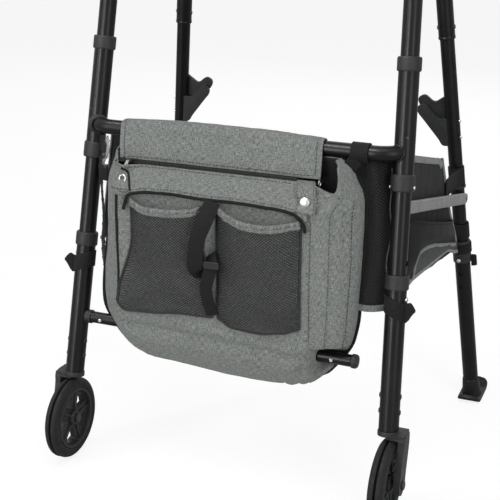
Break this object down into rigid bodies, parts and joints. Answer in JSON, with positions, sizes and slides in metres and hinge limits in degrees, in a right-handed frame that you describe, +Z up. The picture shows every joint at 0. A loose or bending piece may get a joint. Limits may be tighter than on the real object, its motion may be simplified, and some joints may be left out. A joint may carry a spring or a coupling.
{
  "type": "folding walker",
  "caption": "Folding walking frame with two front wheels, rear ski glides, height-adjusting legs, a zipped cloth bag with net pockets on the crossbar and pouches in the side frames.",
  "frame": {"origin": "floor level, under the middle of the bounding box", "axes": "+Z up, +Y towards the user, -X to the left in the picture (the bag faces -Y)"},
  "size_m": [0.6186, 0.5484, 0.8643],
  "materials": {
    "frame_black": "satin black powder coat on aluminium tube",
    "plastic_black": "moulded black plastic",
    "brace_grey": "satin grey coat on a flat bar",
    "steel_bright": "plated steel",
    "tyre_black": "smooth black rubber",
    "grip_black": "ribbed black foam",
    "bag_grey": "melange grey woven polyester",
    "pouch_black": "black nylon with grey binding",
    "net_black": "black net",
    "webbing_black": "black webbing"
  },
  "bodies": {
    "front_frame": {"crossbar": "frame_black", "crossbar_saddle": "plastic_black", "left_front_sleeve": "frame_black", "right_front_sleeve": "frame_black", "left_upper_collar": "plastic_black", "right_upper_collar": "plastic_black", "left_top_collar": "plastic_black", "right_top_collar": "plastic_black", "lower_bar": "frame_black", "lower_bar_saddle": "plastic_black", "lower_bar_cap": "plastic_black", "bag_body": "bag_grey", "bag_flap": "bag_grey", "left_mesh_pocket": "net_black", "right_mesh_pocket": "net_black", "right_net_wing": "net_black", "left_bag_link": "webbing_black", "crossbar_webbing": "webbing_black"},
    "zip_pull": {"zip_slider": "steel_bright"},
    "left_side_frame": {"left_side_rail": "frame_black", "left_rear_post": "frame_black", "left_grip": "grip_black", "left_side_brace": "brace_grey", "left_storage_clip": "plastic_black", "left_side_pouch": "pouch_black", "left_rear_upper_band": "webbing_black"},
    "left_front_leg": {"left_front_leg_tube": "frame_black", "left_lower_collar": "plastic_black", "left_wheel_arm": "plastic_black", "left_wheel_axle": "steel_bright", "left_front_band": "webbing_black"},
    "left_wheel": {"left_tyre": "tyre_black", "left_wheel_rim": "plastic_black"},
    "left_rear_leg": {"left_rear_leg_tube": "frame_black", "left_rear_collar": "plastic_black", "left_ski_glide": "plastic_black", "left_rear_lower_band": "webbing_black"},
    "left_front_button": {"left_front_button": "steel_bright"},
    "left_rear_button": {"left_rear_button": "steel_bright"},
    "right_side_frame": {"right_side_rail": "frame_black", "right_rear_post": "frame_black", "right_grip": "grip_black", "right_side_brace": "brace_grey", "right_storage_clip": "plastic_black", "right_side_pouch": "pouch_black", "right_rear_upper_band": "webbing_black"},
    "right_front_leg": {"right_front_leg_tube": "frame_black", "right_lower_collar": "plastic_black", "right_wheel_arm": "plastic_black", "right_wheel_axle": "steel_bright", "right_front_band": "webbing_black"},
    "right_wheel": {"right_tyre": "tyre_black", "right_wheel_rim": "plastic_black"},
    "right_rear_leg": {"right_rear_leg_tube": "frame_black", "right_rear_collar": "plastic_black", "right_ski_glide": "plastic_black", "right_rear_lower_band": "webbing_black"},
    "right_front_button": {"right_front_button": "steel_bright"},
    "right_rear_button": {"right_rear_button": "steel_bright"}
  },
  "joints": [
    {"name": "zip_slide", "type": "slide", "parent": "front_frame", "child": "zip_pull", "axis": [1, 0, 0], "range_m": [0, 0.262]},
    {"name": "left_side_fold", "type": "hinge", "parent": "front_frame", "child": "left_side_frame", "pos_m": [-0.236, -0.1176, 0.517], "axis": [-0.041, -0.2009, -0.9788], "range_deg": [0, 60]},
    {"name": "left_front_height", "type": "slide", "parent": "left_side_frame", "child": "left_front_leg", "axis": [0.041, 0.2009, 0.9788], "range_m": [0, 0.05]},
    {"name": "left_wheel_spin", "type": "hinge", "parent": "left_front_leg", "child": "left_wheel", "pos_m": [-0.25501, -0.21069, 0.0635], "axis": [1, 0, 0], "continuous": true},
    {"name": "left_rear_height", "type": "slide", "parent": "left_side_frame", "child": "left_rear_leg", "axis": [0.104, -0.1048, 0.989], "range_m": [0, 0.05]},
    {"name": "left_front_press", "type": "slide", "parent": "left_front_leg", "child": "left_front_button", "axis": [0.9991, -0.0042, -0.041], "range_m": [0, 0.0024], "stiffness_N_per_m": 400},
    {"name": "left_rear_press", "type": "slide", "parent": "left_rear_leg", "child": "left_rear_button", "axis": [-0.1673, 0.9784, 0.1213], "range_m": [0, 0.0024], "stiffness_N_per_m": 400},
    {"name": "right_side_fold", "type": "hinge", "parent": "front_frame", "child": "right_side_frame", "pos_m": [0.236, -0.1176, 0.517], "axis": [-0.041, 0.2009, 0.9788], "range_deg": [0, 86]},
    {"name": "right_front_height", "type": "slide", "parent": "right_side_frame", "child": "right_front_leg", "axis": [-0.041, 0.2009, 0.9788], "range_m": [0, 0.05]},
    {"name": "right_wheel_spin", "type": "hinge", "parent": "right_front_leg", "child": "right_wheel", "pos_m": [0.25501, -0.21069, 0.0635], "axis": [1, 0, 0], "continuous": true},
    {"name": "right_rear_height", "type": "slide", "parent": "right_side_frame", "child": "right_rear_leg", "axis": [-0.104, -0.1048, 0.989], "range_m": [0, 0.05]},
    {"name": "right_front_press", "type": "slide", "parent": "right_front_leg", "child": "right_front_button", "axis": [-0.9991, -0.0042, -0.041], "range_m": [0, 0.0024], "stiffness_N_per_m": 400},
    {"name": "right_rear_press", "type": "slide", "parent": "right_rear_leg", "child": "right_rear_button", "axis": [0.1673, 0.9784, 0.1213], "range_m": [0, 0.0024], "stiffness_N_per_m": 400}
  ]
}
